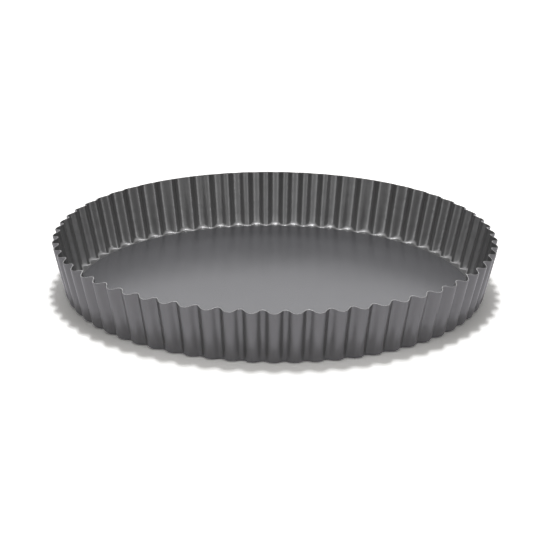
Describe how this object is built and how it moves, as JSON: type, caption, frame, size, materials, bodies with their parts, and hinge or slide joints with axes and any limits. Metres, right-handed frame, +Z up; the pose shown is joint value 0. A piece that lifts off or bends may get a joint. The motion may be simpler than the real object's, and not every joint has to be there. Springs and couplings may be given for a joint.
{
  "type": "fluted tart pan",
  "caption": "Large shallow round tart pan: a fluted leaning wall with a ledge at its foot, and a loose flat base that lifts out.",
  "frame": {"origin": "centre of the pan at the underside of the ring, on the surface it rests on", "axes": "+Z up along the pan's axis; +X and +Y level, each through the middle of an outward lobe of the fluting"},
  "size_m": [0.31, 0.31, 0.0397],
  "materials": {
    "ring_coating": "satin dark grey non-stick coating on pressed steel sheet",
    "base_coating": "satin dark grey non-stick coating on flat steel sheet"
  },
  "bodies": {
    "ring": {"fluted_ring": "ring_coating"},
    "base": {"loose_base": "base_coating"}
  },
  "joints": [
    {"name": "base_lift", "type": "slide", "parent": "ring", "child": "base", "axis": [0, 0, 1], "range_m": [0, 0.06]}
  ]
}
